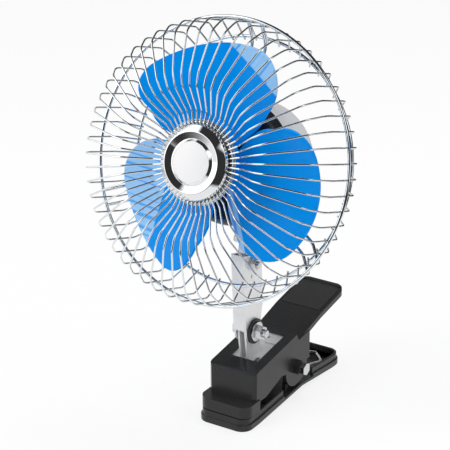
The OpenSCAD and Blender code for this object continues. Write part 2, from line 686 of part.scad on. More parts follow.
module handle() {
  intersection() {
    slab_x(-handle_w, handle_w) handle_side(-handle_t, 0);
    handle_up() handle_plan(0);
  }
  intersection() {
    slab_x(-handle_w, handle_w) handle_side(-handle_t / 2, pad_rise);
    handle_up() intersection() {
      handle_plan(pad_in);
      translate([-handle_w, crease[0] + pad_in]) square([2 * handle_w, grip_len]);
    }
  }
  intersection() {
    slab_x(-handle_w, handle_w) handle_side(-handle_t / 2, rim_rise);
    handle_up() difference() {
      handle_plan(0);
      translate([-handle_w, 0]) square([2 * handle_w, grip_end[0] - end_rim]);
    }
  }
}
module upper_jaw() color(black) on_base() difference() {
  union() {
    both_sides() slab_x(lever_half - lever_t, lever_half) lever_side();
    slab_x(-lever_half + 0.5, lever_half - 0.5) lever_top();
    translate([0, lip_y, lip_low]) linear_extrude(lip_h) intersection() {
      rounded(lip_w, 2 * lip_len, lip_corner);
      translate([-lip_w / 2, 0]) square([lip_w, lip_len]);
    }
    handle();
    on_hinge() both_sides() rod_x(hinge_boss_r, lever_half - 1, lever_half + hinge_boss);
  }
  on_top() translate([-window_w, window_from, -2 * lever_t])
    cube([2 * window_w, window_to - window_from, 3 * lever_t]);
  both_sides() translate([lever_half, front_y, lip_low + lip_h]) linear_extrude(top_z)
    polygon([[-front_cut - 1, -1], [1, -1], [1, front_cut + 1]]);
  on_hinge() rod_x(hinge_r + run_fit, -lever_w, lever_w);
  on_top() rivet_places() translate([0, 0, -lever_t - 1])
    cylinder(r = rivet_r + seat, h = 1 + rivet_in + 0.2);
  translate([-pad_w / 2, pad_y, lip_low - 1]) cube([pad_w, pad_len, 1 + pad_t]);
}
module upper_pad() color(rubber) on_base() translate([-pad_w / 2 + seat, pad_y + seat, lip_low])
  cube([pad_w - 2 * seat, pad_len - 2 * seat, pad_t - seat]);

// Bracket: a plate under the window with two ears that carry the stem
plate_top = -lever_t - seat;
plate_low = plate_top - sheet;
bracket_eye = 7.5;
function plate_at(y) = top_line(y) + [0, (plate_low + sheet / 2) / cos(top_slope)];
slot_r = 1.6;
slot_len = 4;
slot_x = 8;
hole_r = 1.3;
hole_back = 5;
slit_back = 13;
slit_w = 1.2;
module ear_side() {
  polygon([
    plate_at(-pivot_y - 4), plate_at(-pivot_y + 15),
    [-pivot_y + bracket_eye, pivot_z], [-pivot_y - bracket_eye, pivot_z]
  ]);
  translate([-pivot_y, pivot_z]) circle(r = bracket_eye);
}
module bracket() color(chrome) on_base() difference() {
  union() {
    on_top() translate([-plate_half, bracket_from, plate_low])
      cube([2 * plate_half, bracket_to - bracket_from, sheet]);
    both_sides() slab_x(ear_in, ear_out) ear_side();
  }
  on_pivot() rod_x(pivot_bolt_r + seat, -stem_w, stem_w);
  on_top() rivet_places() translate([0, 0, plate_low - 1]) cylinder(r = rivet_r + seat, h = sheet + 2);
  on_top() translate([0, window_to, plate_low - 1]) {
    translate([0, -hole_back, 0]) cylinder(r = hole_r, h = sheet + 2);
    translate([hole_r, -slit_back, 0]) cube([window_w, slit_w, sheet + 2]);
  }
  on_top() translate([slot_x, window_from + 2 * slot_r, plate_low - 1]) {
    for (y = [0, slot_len]) translate([0, y, 0]) cylinder(r = slot_r, h = sheet + 2);
    translate([-slot_r, 0, 0]) cube([2 * slot_r, slot_len, sheet + 2]);
  }
}
module bracket_rivets() color(steel) on_base() on_top() rivet_places() {
  translate([0, 0, plate_low - 1]) cylinder(r = rivet_r, h = 1 + sheet + seat + rivet_in);
  translate([0, 0, plate_low - seat - 1]) cylinder(r = 2 * rivet_r, h = 1);
}

// Lower jaw: a long tray, arched under the hinge, with two ears inside the lever's
ear_gap = 0.5;
inner_x = lever_half - lever_t - ear_gap;
lug_t = 3.5;
lug_r = 8;
underside = [
  [-base_half - nose - 1, 0], [-base_half + sole_len, 0], [hinge_y + 7, arch],
  [base_half - sole_len, 0], [base_half + 1, 0]
];
module tray_side(z0, z1) polygon(concat(
  [for (p = underside) p + [0, z0]],
  [for (i = [len(underside) - 1:-1:0]) underside[i] + [0, z1]]
));
module tray_plan(inset) translate([0, -base_half - nose + inset])
  rounded(base_w - 2 * inset, base_len + nose - 2 * inset, base_corner - inset);
module tray_block(inset, high) intersection() {
  translate([0, 0, -1]) linear_extrude(3 * rim_h) tray_plan(inset);
  slab_x(-base_w, base_w) tray_side(0, high);
}
module lower_jaw() color(black) on_base() {
  difference() {
    union() {
      tray_block(0, ledge_h);
      tray_block(ledge, rim_h);
    }
    intersection() {
      translate([0, 0, -1]) linear_extrude(4 * rim_h) {
        tray_plan(base_t);
        translate([-base_w, hinge_y - ear_r - 3.8]) square([2 * base_w, 2 * ear_r + 11.6]);
      }
      slab_x(-2 * base_w, 2 * base_w) tray_side(base_t, 3 * rim_h);
    }
  }
  both_sides() slab_x(inner_x - lug_t, inner_x) difference() {
    union() {
      polygon([
        [hinge_y - lug_r - 3, arch], [hinge_y + lug_r + 3, arch],
        [hinge_y + lug_r, hinge_z], [hinge_y - lug_r, hinge_z]
      ]);
      translate([hinge_y, hinge_z]) circle(r = lug_r);
    }
    translate([hinge_y, hinge_z]) circle(r = hinge_r + seat);
  }
}
module lower_pad() color(rubber) on_base() translate([-pad_w / 2, pad_y + seat, base_t + seat])
  cube([pad_w, pad_len - seat, rim_h - base_t - seat]);
head_t = 4;
hex_r = 4.9;
hinge_side = lever_half + hinge_boss + slide_gap;
module hinge_bolt() color(steel) on_base() on_hinge() {
  rod_x(hinge_r, -hinge_side - head_t - 1.5, hinge_side + 1);
  hex_x(hex_r, hinge_side, hinge_side + head_t);
}
module hinge_nut() color(steel) on_base() on_hinge()
  nut_x(hex_r, hinge_r + seat, -hinge_side - head_t, -hinge_side);

// Spring: free end under the handle, coil, loop in the tray, coil, free end
spring_pitch = 2 * spring_wire + 0.6;
spring_in = 3;
leg_up = 28;
leg_down = 14;
rings = 8;
free_len = 30;
loop_y = [base_half - 16, base_half - 5];
loop_x = 12.5;
coil_turns = spring_turns + (180 - leg_up - leg_down) / 360;
coil_n = round(coil_turns * rings);
function coil_point(k) = let (s = k / coil_n, a = 90 + leg_up + s * coil_turns * 360)
  [spring_in + s * coil_turns * spring_pitch, hinge_y + spring_r * cos(a), hinge_z + spring_r * sin(a)];
coil = [for (k = [0:coil_n]) coil_point(k)];
free_dir = [0, cos(leg_up), sin(leg_up)];
loop_z = base_t + spring_wire + 0.3;
half_spring = concat(
  [coil[0] + free_len * free_dir, coil[0] + 2 * spring_wire * free_dir],
  coil,
  [coil[coil_n] + 2 * spring_wire * [0, cos(leg_down), -sin(leg_down)]],
  [[loop_x, loop_y[0] - 4, loop_z + 1.2], [loop_x - 0.6, loop_y[0], loop_z + 0.9], [2, loop_y[1] - 1, loop_z]]
);
spring_path = concat(
  half_spring,
  [for (i = [len(half_spring) - 1:-1:0]) [-half_spring[i][0], half_spring[i][1], half_spring[i][2]]]
);
function spring_gap(p) = min([
  for (i = [0:len(p) - 1], j = [0:len(p) - 1]) if (j > i + rings / 2) norm(p[i] - p[j])
]) - 2 * spring_wire;
echo(spring_gap = spring_gap(spring_path));
module clamp_spring() color(steel) on_base() tubes([spring_path], spring_wire, [[1, 0, 0]]);

lower_jaw();
lower_pad();
hinge_bolt();
hinge_nut();
clamp_spring();
upper_jaw();
upper_pad();
bracket();
bracket_rivets();
pivot_spacer();
pivot_bolt();
pivot_disc();
pivot_washer();
pivot_nut();
stem_channel();
tilt_bolt();
tilt_washer();
tilt_nut();
neck();
swivel_pin();
motor_cap();
motor_housing();
motor_can();
magnets();
front_bearing();
rear_bearing();
brush_plate();
brushes();
cord_grommet();
guard_ribs();
guard_hoop();
guard_rear_ring();
guard_hub_ring();
guard_struts();
strut_screws();
badge_cap();
badge_disc();
badge_back();
badge_screw();
impeller();
shaft();
armature();
windings();
commutator();
blade_nut();
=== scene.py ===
import json
import math

import bmesh
import bpy
from mathutils import Matrix, Vector


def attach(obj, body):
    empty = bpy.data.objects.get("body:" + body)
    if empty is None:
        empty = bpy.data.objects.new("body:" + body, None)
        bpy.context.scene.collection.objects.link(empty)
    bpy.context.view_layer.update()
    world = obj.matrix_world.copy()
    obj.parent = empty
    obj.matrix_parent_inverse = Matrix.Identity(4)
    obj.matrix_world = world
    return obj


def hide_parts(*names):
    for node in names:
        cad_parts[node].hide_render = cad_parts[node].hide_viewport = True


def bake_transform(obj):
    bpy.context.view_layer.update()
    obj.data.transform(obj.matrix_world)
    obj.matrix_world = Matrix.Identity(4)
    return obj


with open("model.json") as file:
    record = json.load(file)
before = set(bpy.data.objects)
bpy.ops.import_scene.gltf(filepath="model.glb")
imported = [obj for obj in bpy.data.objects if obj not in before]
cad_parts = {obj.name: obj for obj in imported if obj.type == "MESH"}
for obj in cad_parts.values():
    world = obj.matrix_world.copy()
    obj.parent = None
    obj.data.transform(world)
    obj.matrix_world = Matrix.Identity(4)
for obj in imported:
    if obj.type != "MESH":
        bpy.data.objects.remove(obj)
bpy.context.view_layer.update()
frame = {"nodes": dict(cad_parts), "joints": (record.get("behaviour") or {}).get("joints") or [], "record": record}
nodes = frame["nodes"]
joints = {j["name"]: j for j in frame["joints"]}
record = frame["record"]
nodeSlot = {s["node"]: s["material_slot"] for s in record["subparts"]}
nodeBody = {n: body for body, members in record["behaviour"]["bodies"].items() for n in members}
mm = 0.001
print("frame loaded:", len(nodes), "nodes")


# places that the pieces are built on, read from the joints
def frameAt(place, rearward):
    across = Vector((1, 0, 0))
    back = Vector(rearward).normalized()
    up = across.cross(back)
    m = Matrix((across, back, up)).transposed().to_4x4()
    m.translation = Vector(place)
    return m


spin = joints["blade_spin"]
headFrame = frameAt(spin["pos_m"], [-a for a in spin["axis"]])
hingeAt = Vector(joints["jaw_open"]["pos_m"])


# short ways to add nodes, in shader and geometry trees alike
def addNode(tree, kind, links=None, **values):
    n = tree.nodes.new(kind)
    for key, value in values.items():
        setattr(n, key, value)
    for socket, source in (links or {}).items():
        target = n.inputs[socket]
        if isinstance(source, bpy.types.NodeSocket):
            tree.links.new(source, target)
        else:
            target.default_value = source
    return n


def ranged(tree, value, start, end, low=0.0, high=1.0):  # start to end becomes low to high
    links = {"Value": value, "From Min": start, "From Max": end, "To Min": low, "To Max": high}
    return addNode(tree, "ShaderNodeMapRange", links).outputs["Result"]


def combined(tree, operation, *values):
    return addNode(tree, "ShaderNodeMath", dict(enumerate(values)), operation=operation).outputs[0]


def toned(tree, fac, dark, light):
    links = {"Factor": fac, "A": (*dark, 1), "B": (*light, 1)}
    return addNode(tree, "ShaderNodeMix", links, data_type="RGBA").outputs["Result"]


def objectPlace(tree):
    return addNode(tree, "ShaderNodeTexCoord").outputs["Object"]


def noiseAt(tree, place, scale, detail, roughness=0.5):
    links = {"Vector": place, "Scale": scale, "Detail": detail, "Roughness": roughness}
    return addNode(tree, "ShaderNodeTexNoise", links).outputs["Fac"]


# shader groups shared by the finishes
def nodeGroup(name, inputs, outputs):
    tree = bpy.data.node_groups.new(name, "ShaderNodeTree")
    for label, kind, value in inputs:
        s = tree.interface.new_socket(label, in_out="INPUT", socket_type="NodeSocket" + kind)
        s.default_value = value
    for label in outputs:
        tree.interface.new_socket(label, in_out="OUTPUT", socket_type="NodeSocketFloat")
    return tree, tree.nodes.new("NodeGroupInput").outputs, tree.nodes.new("NodeGroupOutput").inputs


smudgeSet = {"detail": 4.0, "spread": (0.3, 0.7)}


def makeSmudges(s):  # slow change of gloss, as from hands and dust
    inputs = [("Scale", "Float", 60.0), ("Low", "Float", 0.1), ("High", "Float", 0.2)]
    tree, given, end = nodeGroup("smudges", inputs, ["Roughness"])
    slow = noiseAt(tree, objectPlace(tree), given["Scale"], s["detail"])
    tree.links.new(ranged(tree, slow, *s["spread"], given["Low"], given["High"]), end["Roughness"])
    return tree


grainSet = {"detail": 3.0, "toneScale": 35.0, "toneDetail": 2.0}


def makeGrain(g):  # moulded or cast skin
    tree, given, end = nodeGroup("mouldGrain", [("Scale", "Float", 900.0)], ["Height", "Tone"])
    place = objectPlace(tree)
    cells = addNode(tree, "ShaderNodeTexVoronoi", {"Vector": place, "Scale": given["Scale"]})
    fine = noiseAt(tree, place, given["Scale"], g["detail"])
    tree.links.new(combined(tree, "ADD", cells.outputs["Distance"], fine), end["Height"])
    tree.links.new(noiseAt(tree, place, g["toneScale"], g["toneDetail"]), end["Tone"])
    return tree


brushSet = {"scale": 1.0, "detail": 5.0, "roughness": 0.6}


def makeBrushed(b):  # fine lines drawn out along one axis
    tree, given, end = nodeGroup("brushedLines", [("Stretch", "Vector", (900.0, 900.0, 20.0))], ["Lines"])
    stretch = {0: objectPlace(tree), 1: given["Stretch"]}
    drawn = addNode(tree, "ShaderNodeVectorMath", stretch, operation="MULTIPLY")
    lines = noiseAt(tree, drawn.outputs[0], b["scale"], b["detail"], b["roughness"])
    tree.links.new(lines, end["Lines"])
    return tree


smudges = makeSmudges(smudgeSet)
mouldGrain = makeGrain(grainSet)
brushedLines = makeBrushed(brushSet)


# finishes
def newFinish(name, **sockets):
    mat = bpy.data.materials.new(name)
    mat.use_nodes = True
    shader = mat.node_tree.nodes["Principled BSDF"]
    for key, value in sockets.items():
        shader.inputs[key.replace("_", " ")].default_value = value
    return mat, mat.node_tree, shader


def useGroup(tree, group, **values):
    g = tree.nodes.new("ShaderNodeGroup")
    g.node_tree = group
    for key, value in values.items():
        g.inputs[key].default_value = value
    return g.outputs


def addBump(tree, shader, height, strength, distance):
    b = addNode(tree, "ShaderNodeBump", {"Height": height, "Strength": strength, "Distance": distance})
    tree.links.new(b.outputs["Normal"], shader.inputs["Normal"])


def addSmudges(tree, shader, scale, rough):
    s = useGroup(tree, smudges, Scale=scale, Low=rough[0], High=rough[1])
    tree.links.new(s["Roughness"], shader.inputs["Roughness"])


smudgeScale = {"chrome": 90.0, "plastic": 45.0, "sheet": 70.0, "blade": 40.0, "disc": 120.0}
bumpStrength = {"plastic": 0.25, "sheet": 0.2, "blade": 0.05, "disc": 0.15}


def makeChrome(name, dark, light, rough, metal=1.0):
    mat, tree, shader = newFinish(name, Metallic=metal)
    skin = useGroup(tree, mouldGrain)
    tree.links.new(toned(tree, skin["Tone"], dark, light), shader.inputs["Base Color"])
    addSmudges(tree, shader, smudgeScale["chrome"], rough)
    return mat


def makePlastic(name, dark, light, rough, grain, depth, gloss=0.5):
    mat, tree, shader = newFinish(name, Specular_IOR_Level=gloss)
    skin = useGroup(tree, mouldGrain, Scale=grain)
    tree.links.new(toned(tree, skin["Tone"], dark, light), shader.inputs["Base Color"])
    addSmudges(tree, shader, smudgeScale["plastic"], rough)
    addBump(tree, shader, skin["Height"], bumpStrength["plastic"], depth)
    return mat


def makeSheet(name, dark, light, rough, stretch, depth, metal=1.0):
    mat, tree, shader = newFinish(name, Metallic=metal)
    brushed = useGroup(tree, brushedLines, Stretch=stretch)
    tree.links.new(toned(tree, brushed["Lines"], dark, light), shader.inputs["Base Color"])
    addSmudges(tree, shader, smudgeScale["sheet"], rough)
    addBump(tree, shader, brushed["Lines"], bumpStrength["sheet"], depth)
    return mat


chromeSet = {
    "chromeWire": {"dark": (0.735, 0.77, 0.785), "light": (0.815, 0.85, 0.865), "rough": (0.06, 0.12)},
    "chromeBadge": {"dark": (0.74, 0.75, 0.76), "light": (0.8, 0.81, 0.82), "rough": (0.04, 0.08)},
    "springWire": {"dark": (0.84, 0.84, 0.85), "light": (0.92, 0.92, 0.93), "rough": (0.3, 0.4),
                   "metal": 0.45},
}
plasticSet = {
    "blackPlastic": {"dark": (0.022, 0.022, 0.0225), "light": (0.03, 0.03, 0.0305), "rough": (0.22, 0.3),
                     "grain": 1400.0, "depth": 0.00008, "gloss": 0.25},
    "gripPlastic": {"dark": (0.023, 0.023, 0.0235), "light": (0.031, 0.031, 0.0315), "rough": (0.4, 0.5),
                    "grain": 700.0, "depth": 0.0003, "gloss": 0.36},
    "capPlastic": {"dark": (0.012, 0.012, 0.013), "light": (0.02, 0.02, 0.021), "rough": (0.2, 0.28),
                   "grain": 1200.0, "depth": 0.00008},
    "padRubber": {"dark": (0.012, 0.012, 0.012), "light": (0.02, 0.02, 0.02), "rough": (0.7, 0.85),
                  "grain": 600.0, "depth": 0.0003},
    "greyHousing": {"dark": (0.56, 0.57, 0.59), "light": (0.66, 0.67, 0.69), "rough": (0.35, 0.45),
                    "grain": 1600.0, "depth": 0.0001},
    "boardBrown": {"dark": (0.15, 0.07, 0.03), "light": (0.22, 0.11, 0.05), "rough": (0.5, 0.6),
                   "grain": 800.0, "depth": 0.0002},
}
sheetSet = {
    "plateSheet": {"dark": (0.72, 0.72, 0.73), "light": (0.86, 0.86, 0.87), "rough": (0.3, 0.42),
                   "stretch": (1500.0, 1500.0, 30.0), "depth": 0.00008, "metal": 0.5},
    "zincSteel": {"dark": (0.5, 0.51, 0.52), "light": (0.7, 0.71, 0.72), "rough": (0.16, 0.3),
                  "stretch": (700.0, 700.0, 700.0), "depth": 0.00008},
    "darkMetal": {"dark": (0.07, 0.07, 0.075), "light": (0.11, 0.11, 0.115), "rough": (0.4, 0.5),
                  "stretch": (500.0, 500.0, 500.0), "depth": 0.0001},
    "canSteel": {"dark": (0.4, 0.4, 0.42), "light": (0.5, 0.5, 0.52), "rough": (0.3, 0.4),
                 "stretch": (40.0, 900.0, 40.0), "depth": 0.0001},
    "bronze": {"dark": (0.4, 0.24, 0.1), "light": (0.55, 0.36, 0.16), "rough": (0.35, 0.5),
               "stretch": (800.0, 800.0, 800.0), "depth": 0.0001},
}
finishes = {name: makeChrome(name, **s) for name, s in chromeSet.items()}
finishes.update({name: makePlastic(name, **s) for name, s in plasticSet.items()})
finishes.update({name: makeSheet(name, **s) for name, s in sheetSet.items()})

# pale is the colour of the painted floor reflection on the blades; the lanes thin it out as painted reflections of
# the ribs
blueSet = {"dark": (0.0, 0.28, 0.85), "light": (0.0, 0.325, 0.95), "pale": (0.34, 0.64, 1.0), "ior": 1.45,
           "gloss": 0.1, "grain": 300.0, "depth": 0.0001, "rough": (0.1, 0.18), "reflectionEdgeSoft": 0.8,
           "ribReflectionStreaks": 0.27, "ribReflectionDetail": 2.0, "lane": (0.38, 0.44), "ribReflectionLow": 0.3}


def makeBlueBlade(b):  # clear blue plastic; past a slanting line on each blade the colour turns pale as a painted reflection of the floor, crossed by darker lanes painted as reflections of the ribs
    mat, tree, shader = newFinish("blueBlade", IOR=b["ior"], Specular_IOR_Level=b["gloss"])
    skin = useGroup(tree, mouldGrain, Scale=b["grain"])
    body = toned(tree, skin["Tone"], b["dark"], b["light"])
    past = addNode(tree, "ShaderNodeAttribute", attribute_name="pastReflectionLine").outputs["Fac"]
    along = addNode(tree, "ShaderNodeAttribute", attribute_name="ribReflectionPlace").outputs["Fac"]
    lines = {"W": along, "Scale": b["ribReflectionStreaks"], "Detail": b["ribReflectionDetail"]}
    ribReflectionStreaks = addNode(tree, "ShaderNodeTexNoise", lines, noise_dimensions="1D").outputs["Fac"]
    cut = ranged(tree, past, 0.0, b["reflectionEdgeSoft"])
    paintedReflection = combined(tree, "MULTIPLY", cut, ranged(tree, ribReflectionStreaks, *b["lane"], b["ribReflectionLow"]))
    mixed = {"Factor": paintedReflection, "A": body, "B": (*b["pale"], 1)}
    pale = addNode(tree, "ShaderNodeMix", mixed, data_type="RGBA")
    tree.links.new(pale.outputs["Result"], shader.inputs["Base Color"])
    addSmudges(tree, shader, smudgeScale["blade"], b["rough"])
    addBump(tree, shader, skin["Height"], bumpStrength["blade"], b["depth"])
    return mat


discSet = {"dark": (0.84, 0.84, 0.85), "light": (0.93, 0.93, 0.94), "metal": 0.1, "rough": (0.3, 0.4),
           "rings": 260.0, "waver": 0.6, "ringDetail": 2.0, "depth": 0.00005}


def makeTurnedDisc(d):  # satin face with turned rings about the fan's axis
    mat, tree, shader = newFinish("turnedDisc", Metallic=d["metal"])
    turn = {"Vector": objectPlace(tree), "Location": headFrame.translation, "Rotation": headFrame.to_euler()}
    place = addNode(tree, "ShaderNodeMapping", turn, vector_type="TEXTURE").outputs[0]
    wave = {"Vector": place, "Scale": d["rings"], "Distortion": d["waver"], "Detail": d["ringDetail"]}
    rings = addNode(tree, "ShaderNodeTexWave", wave, wave_type="RINGS", rings_direction="Y").outputs["Fac"]
    tree.links.new(toned(tree, rings, d["dark"], d["light"]), shader.inputs["Base Color"])
    addSmudges(tree, shader, smudgeScale["disc"], d["rough"])
    addBump(tree, shader, rings, bumpStrength["disc"], d["depth"])
    return mat


finishes["blueBlade"] = makeBlueBlade(blueSet)
finishes["turnedDisc"] = makeTurnedDisc(discSet)

slotFinish = {"black_plastic": "blackPlastic", "pad_rubber": "padRubber", "zinc_steel": "zincSteel",
              "plated_sheet": "plateSheet", "dark_metal": "darkMetal", "grey_housing": "greyHousing",
              "can_steel": "canSteel", "bearing_bronze": "bronze", "board_brown": "boardBrown",
              "chrome_wire": "chromeWire", "chrome_badge": "chromeBadge", "satin_disc": "turnedDisc",
              "blue_blade": "blueBlade"}
for name, obj in nodes.items():
    obj.data.materials.clear()
    obj.data.materials.append(finishes[slotFinish[nodeSlot[name]]])
print("finishes made:", len(finishes))


# pieces: made at the origin, place in the mesh, riding on the body of the node that they stand for
def standFor(obj, node):
    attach(obj, nodeBody[node])
    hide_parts(node)


def pieceName(node):  # guard_hub_ring becomes guardHubRing
    first, *rest = node.split("_")
    return first + "".join(word.capitalize() for word in rest)


def newPiece(name, mesh):
    obj = bpy.data.objects.new(name, mesh)
    bpy.context.scene.collection.objects.link(obj)
    return obj


def settle(obj):  # keeps the result of the modifiers as a plain mesh and takes them off
    deps = bpy.context.evaluated_depsgraph_get()
    mesh = bpy.data.meshes.new_from_object(obj.evaluated_get(deps), depsgraph=deps)
    mesh.name = obj.name
    obj.modifiers.clear()
    obj.data = mesh


def cleanNormals(mesh):
    bm = bmesh.new()
    bm.from_mesh(mesh)
    bmesh.ops.recalc_face_normals(bm, faces=bm.faces)
    bm.to_mesh(mesh)
    bm.free()


def smoothFaces(mesh):
    mesh.polygons.foreach_set("use_smooth", [True] * len(mesh.polygons))


def easeEdges(obj, width, corner):  # rounds edges that turn by more than corner, in degrees
    edge = obj.modifiers.new("edge", "BEVEL")
    edge.width = width * mm
    edge.segments = 3
    edge.limit_method = "ANGLE"
    edge.angle_limit = math.radians(corner)


# Geometry Nodes
def newTree(name, sizes):
    tree = bpy.data.node_groups.new(name, "GeometryNodeTree")
    tree.interface.new_socket("Geometry", in_out="INPUT", socket_type="NodeSocketGeometry")
    for label, kind, value in sizes:
        s = tree.interface.new_socket(label, in_out="INPUT", socket_type="NodeSocket" + kind)
        s.default_value = value
    tree.interface.new_socket("Finish", in_out="INPUT", socket_type="NodeSocketMaterial")
    tree.interface.new_socket("Geometry", in_out="OUTPUT", socket_type="NodeSocketGeometry")
    return tree, tree.nodes.new("NodeGroupInput").outputs


def circle(tree, steps, radius):
    ring = addNode(tree, "GeometryNodeCurvePrimitiveCircle", {"Resolution": steps, "Radius": radius})
    return ring.outputs[0]


def endTree(tree, shape, finish):  # real smooth faces with the piece's finish
    whole = addNode(tree, "GeometryNodeRealizeInstances", {"Geometry": shape})
    smooth = addNode(tree, "GeometryNodeSetShadeSmooth", {"Geometry": whole.outputs[0]})
    done = addNode(tree, "GeometryNodeSetMaterial", {"Geometry": smooth.outputs[0], "Material": finish})
    tree.links.new(done.outputs[0], tree.nodes.new("NodeGroupOutput").inputs[0])


def makeBentWires():  # a bent wire along the host's points, repeated round the Y axis
    sizes = [("Wire Radius", "Float", 0.001), ("Sides", "Int", 10), ("Bend Steps", "Int", 5),
             ("Count", "Int", 1), ("Start Angle", "Float", 0.0)]
    tree, given = newTree("bentWires", sizes)
    line = addNode(tree, "GeometryNodeMeshToCurve", {"Mesh": given["Geometry"]})
    bend = addNode(tree, "GeometryNodeInputNamedAttribute", {"Name": "bendRadius"}, data_type="FLOAT")
    bent = {"Curve": line.outputs[0], "Radius": bend.outputs[0], "Count": given["Bend Steps"]}
    fillet = addNode(tree, "GeometryNodeFilletCurve", bent, mode="POLY")
    section = circle(tree, given["Sides"], given["Wire Radius"])
    swept = {"Curve": fillet.outputs[0], "Profile Curve": section, "Fill Caps": True}
    tube = addNode(tree, "GeometryNodeCurveToMesh", swept)
    step = combined(tree, "DIVIDE", 2 * math.pi, given["Count"])
    number = addNode(tree, "GeometryNodeInputIndex").outputs[0]
    turn = combined(tree, "MULTIPLY_ADD", number, step, given["Start Angle"])
    angles = addNode(tree, "ShaderNodeCombineXYZ", {"Y": turn})
    spots = addNode(tree, "GeometryNodePoints", {"Count": given["Count"]})
    row = {"Points": spots.outputs[0], "Instance": tube.outputs[0], "Rotation": angles.outputs[0]}
    copies = addNode(tree, "GeometryNodeInstanceOnPoints", row)
    endTree(tree, copies.outputs[0], given["Finish"])
    return tree


def makeRingWire():  # one closed ring of round wire about the Y axis
    sizes = [("Ring Radius", "Float", 0.1), ("Wire Radius", "Float", 0.001), ("Offset", "Float", 0.0),
             ("Steps", "Int", 160), ("Sides", "Int", 14)]
    tree, given = newTree("ringWire", sizes)
    section = circle(tree, given["Sides"], given["Wire Radius"])
    swept = {"Curve": circle(tree, given["Steps"], given["Ring Radius"]), "Profile Curve": section}
    tube = addNode(tree, "GeometryNodeCurveToMesh", swept)
    spot = addNode(tree, "ShaderNodeCombineXYZ", {"Y": given["Offset"]})
    moved = {"Geometry": tube.outputs[0], "Translation": spot.outputs[0], "Rotation": (math.pi / 2, 0, 0)}
    endTree(tree, addNode(tree, "GeometryNodeTransform", moved).outputs[0], given["Finish"])
    return tree


bentWires = makeBentWires()
ringWire = makeRingWire()


def grow(name, host, tree, place, sizes):  # runs a tree on a host mesh and keeps the plain result
    obj = newPiece(name, host)
    mod = obj.modifiers.new("grow", "NODES")
    mod.node_group = tree
    sockets = [i for i in tree.interface.items_tree if i.item_type == "SOCKET" and i.in_out == "INPUT"]
    identifier = {s.name: s.identifier for s in sockets}
    for label, value in sizes.items():
        mod[identifier[label]] = value
    settle(obj)
    obj.data.transform(place)
    cleanNormals(obj.data)
    return obj


def wireHost(name, points, bends):  # an open line whose points carry their bend radius
    mesh = bpy.data.meshes.new(name)
    steps = [(i, i + 1) for i in range(len(points) - 1)]
    mesh.from_pydata([tuple(c * mm for c in p) for p in points], steps, [])
    layer = mesh.attributes.new("bendRadius", "FLOAT", "POINT")
    layer.data.foreach_set("value", [b * mm for b in bends])
    return mesh


def dotHost(name):
    mesh = bpy.data.meshes.new(name)
    mesh.from_pydata([(0, 0, 0)], [], [])
    return mesh


# guard: ribs, rings and struts; points are (radius, depth), and the drum's radius follows from the hoop
guardSet = {"hoop": 100.0, "hoopWire": 1.2, "ringSteps": 180, "ringSides": 14, "seat": 0.05, "over": 1.5,
            "ribs": 57, "ribWire": 0.65, "ribSides": 10, "bendSteps": 6,
            "line": [(26, -32.5), (35, -32.5), (52, -43.2), (61, -43.2), (89.5, -32.5), (None, -20),
                     (None, 14.5), (85, 28)],
            "bends": [0, 6, 8, 14, 12, 14, 6, 0],
            "struts": 3, "strutWire": 1.1, "strutSides": 12, "strutAt": 86.0, "strutTurn": 84.0,
            "strutY": 16.5, "cap": 45.0, "strutBends": [0, 10, 2.5]}


def makeRibs(g, line, start):
    sizes = {"Wire Radius": g["ribWire"] * mm, "Sides": g["ribSides"], "Bend Steps": g["bendSteps"],
             "Count": g["ribs"], "Start Angle": start, "Finish": finishes["chromeWire"]}
    host = wireHost("guardRibs", line, g["bends"])
    standFor(grow("guardRibs", host, bentWires, headFrame, sizes), "guard_ribs")


def makeStruts(g, ribRadius, start):  # double legs, bent from the hoop in to the motor's cap
    half = ribRadius * math.sin(math.pi / g["ribs"])
    legs = [(g["hoop"], g["hoopWire"] + g["strutWire"] + g["seat"]), (g["strutTurn"], g["strutY"]),
            (g["cap"] + g["strutWire"] + g["seat"], g["strutY"])]
    points = [(x, y, half) for x, y in legs] + [(x, y, -half) for x, y in reversed(legs)]
    host = wireHost("guardStruts", points, g["strutBends"] + g["strutBends"][::-1])
    sizes = {"Wire Radius": g["strutWire"] * mm, "Sides": g["strutSides"], "Bend Steps": g["bendSteps"],
             "Count": g["struts"], "Start Angle": start, "Finish": finishes["chromeWire"]}
    standFor(grow("guardStruts", host, bentWires, headFrame, sizes), "guard_struts")


def makeRing(g, node, radius, offset):
    name = pieceName(node)
    sizes = {"Ring Radius": radius * mm, "Wire Radius": g["hoopWire"] * mm, "Offset": offset * mm,
             "Steps": g["ringSteps"], "Sides": g["ringSides"], "Finish": finishes["chromeWire"]}
    standFor(grow(name, dotHost(name), ringWire, headFrame, sizes), node)


def makeGuard(g):
    ribRadius = g["hoop"] - g["hoopWire"] - g["ribWire"] - g["seat"]
    line = [Vector((ribRadius if r is None else r, y, 0)) for r, y in g["line"]]
    weld = g["ribWire"] + g["hoopWire"] + g["seat"]
    tail = (line[-1] - line[-2]).normalized()
    hubRing = line[0] + Vector((g["over"], weld, 0))
    rearRing = line[-1] - g["over"] * tail + weld * Vector((tail.y, -tail.x, 0))
    start = -math.radians(g["strutAt"])
    makeRibs(g, line, start)
    makeStruts(g, ribRadius, start)
    makeRing(g, "guard_hoop", g["hoop"], 0.0)
    makeRing(g, "guard_rear_ring", rearRing.x, rearRing.y)
    makeRing(g, "guard_hub_ring", hubRing.x, hubRing.y)


makeGuard(guardSet)
print("guard wires bent and welded")


# clamp spring: one wire, two coils on the hinge, a loop in the tray and two free ends under the handle
springSet = {"wire": 0.9, "sides": 12, "coil": 6.0, "turns": 3, "gap": 0.6, "inside": 3.0, "steps": 28,
             "legUp": 28.0, "legDown": 14.0, "free": 30.0, "bendSteps": 4, "blend": 7.0,
             "loop": [(12.5, 47.0, 5.4), (11.9, 51.0, 5.1), (2.0, 61.0, 4.2)], "loopBends": [2, 2, 2, 1.5]}


